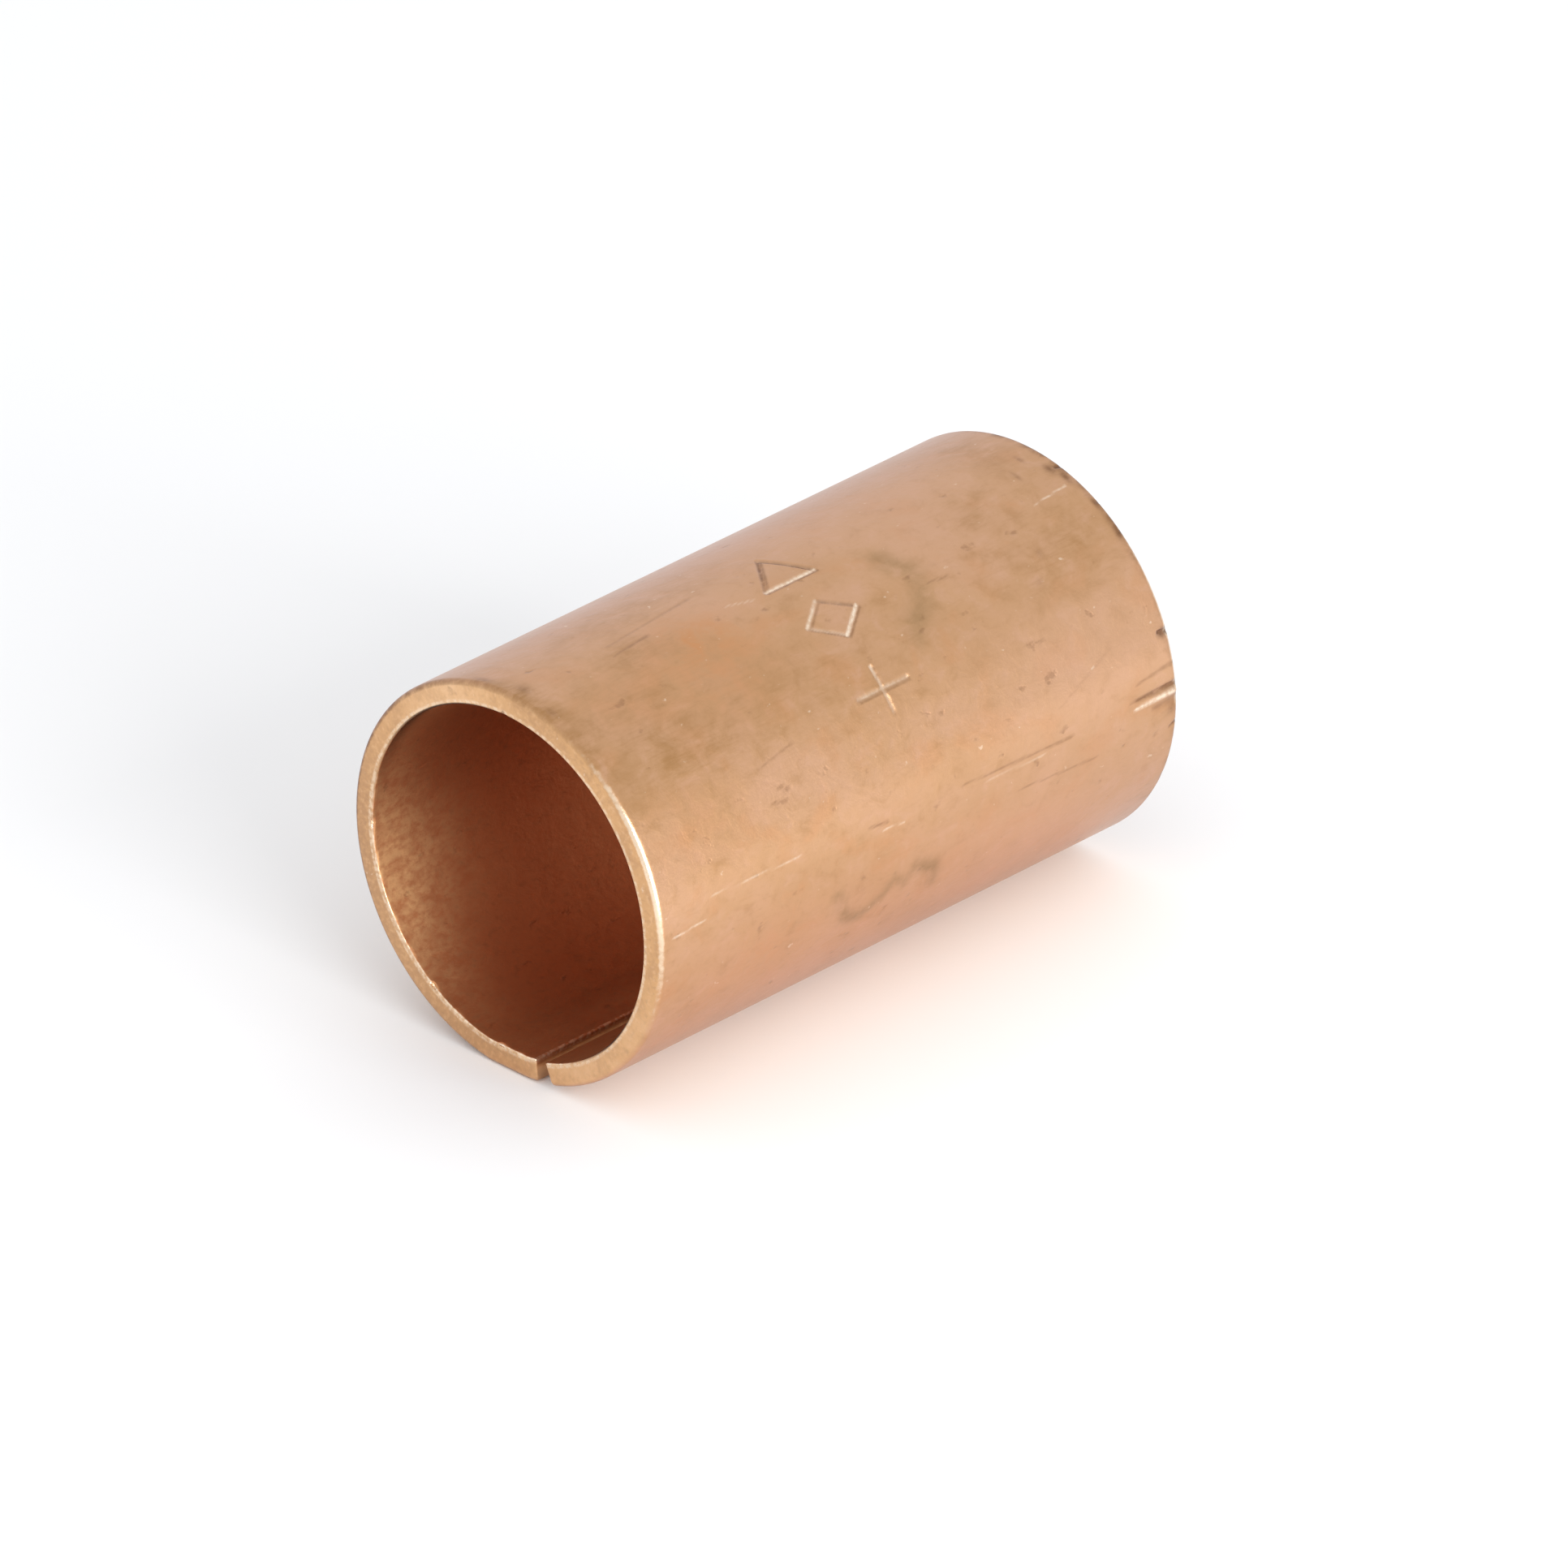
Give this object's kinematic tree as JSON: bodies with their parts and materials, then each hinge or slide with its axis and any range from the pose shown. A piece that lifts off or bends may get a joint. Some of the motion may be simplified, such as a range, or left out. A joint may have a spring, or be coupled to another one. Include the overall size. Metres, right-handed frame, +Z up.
{
  "type": "bronze sleeve bushing",
  "caption": "Thin-walled plain bearing sleeve rolled from solid bronze strip, with a straight butt seam, a smooth open bore and rounded rims.",
  "frame": {"origin": "on the bore axis, half way along the sleeve", "axes": "+Y along the bore from the front end to the rear end, +Z up as the sleeve lies on its side, +X to the right seen from the front; the butt seam is 13.7 degrees round from straight down towards +X"},
  "size_m": [0.025, 0.0428, 0.0248],
  "materials": {
    "bronze": "dull rolled tin bronze, lightly tarnished, with burnished rims and a darker bore"
  },
  "bodies": {
    "root": {"split_sleeve": "bronze"}
  },
  "joints": []
}
